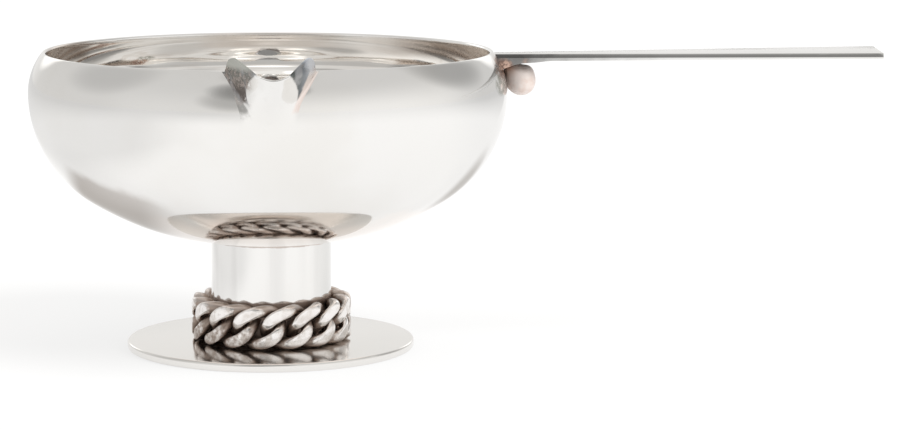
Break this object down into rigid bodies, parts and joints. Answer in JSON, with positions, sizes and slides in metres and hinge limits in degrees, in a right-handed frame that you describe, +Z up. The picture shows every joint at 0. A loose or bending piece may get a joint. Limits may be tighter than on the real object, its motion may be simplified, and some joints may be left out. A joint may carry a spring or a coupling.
{
  "type": "sauce boat",
  "caption": "Pedestal sauce boat: round silver bowl with a beaked spout and a flat flared side handle, on a tube stem ringed by a curb chain, over a round base disc.",
  "frame": {"origin": "centre of the base disc's underside, on the axis of the stem and the bowl", "axes": "+Z up along the stem, +X along the handle away from the bowl, -Y out over the spout"},
  "size_m": [0.2296, 0.1398, 0.0838],
  "materials": {
    "silver_disc": "polished silver plate with fine scratches",
    "silver_stem": "polished silver plate",
    "chain_darkened": "bright filed faces with brown oxide in the recesses",
    "silver_bowl": "polished silver plate",
    "silver_spout": "polished silver plate",
    "silver_handle": "polished silver plate with fine scratches",
    "bead_worn": "silver plate worn to a warm copper tint"
  },
  "bodies": {
    "root": {"base_disc": "silver_disc", "stem_tube": "silver_stem", "chain_link_01": "chain_darkened", "chain_link_02": "chain_darkened", "chain_link_03": "chain_darkened", "chain_link_04": "chain_darkened", "chain_link_05": "chain_darkened", "chain_link_06": "chain_darkened", "chain_link_07": "chain_darkened", "chain_link_08": "chain_darkened", "chain_link_09": "chain_darkened", "chain_link_10": "chain_darkened", "chain_link_11": "chain_darkened", "chain_link_12": "chain_darkened", "chain_link_13": "chain_darkened", "chain_link_14": "chain_darkened", "chain_link_15": "chain_darkened", "chain_link_16": "chain_darkened", "bowl": "silver_bowl", "spout": "silver_spout", "handle": "silver_handle", "handle_bead": "bead_worn"}
  },
  "joints": []
}
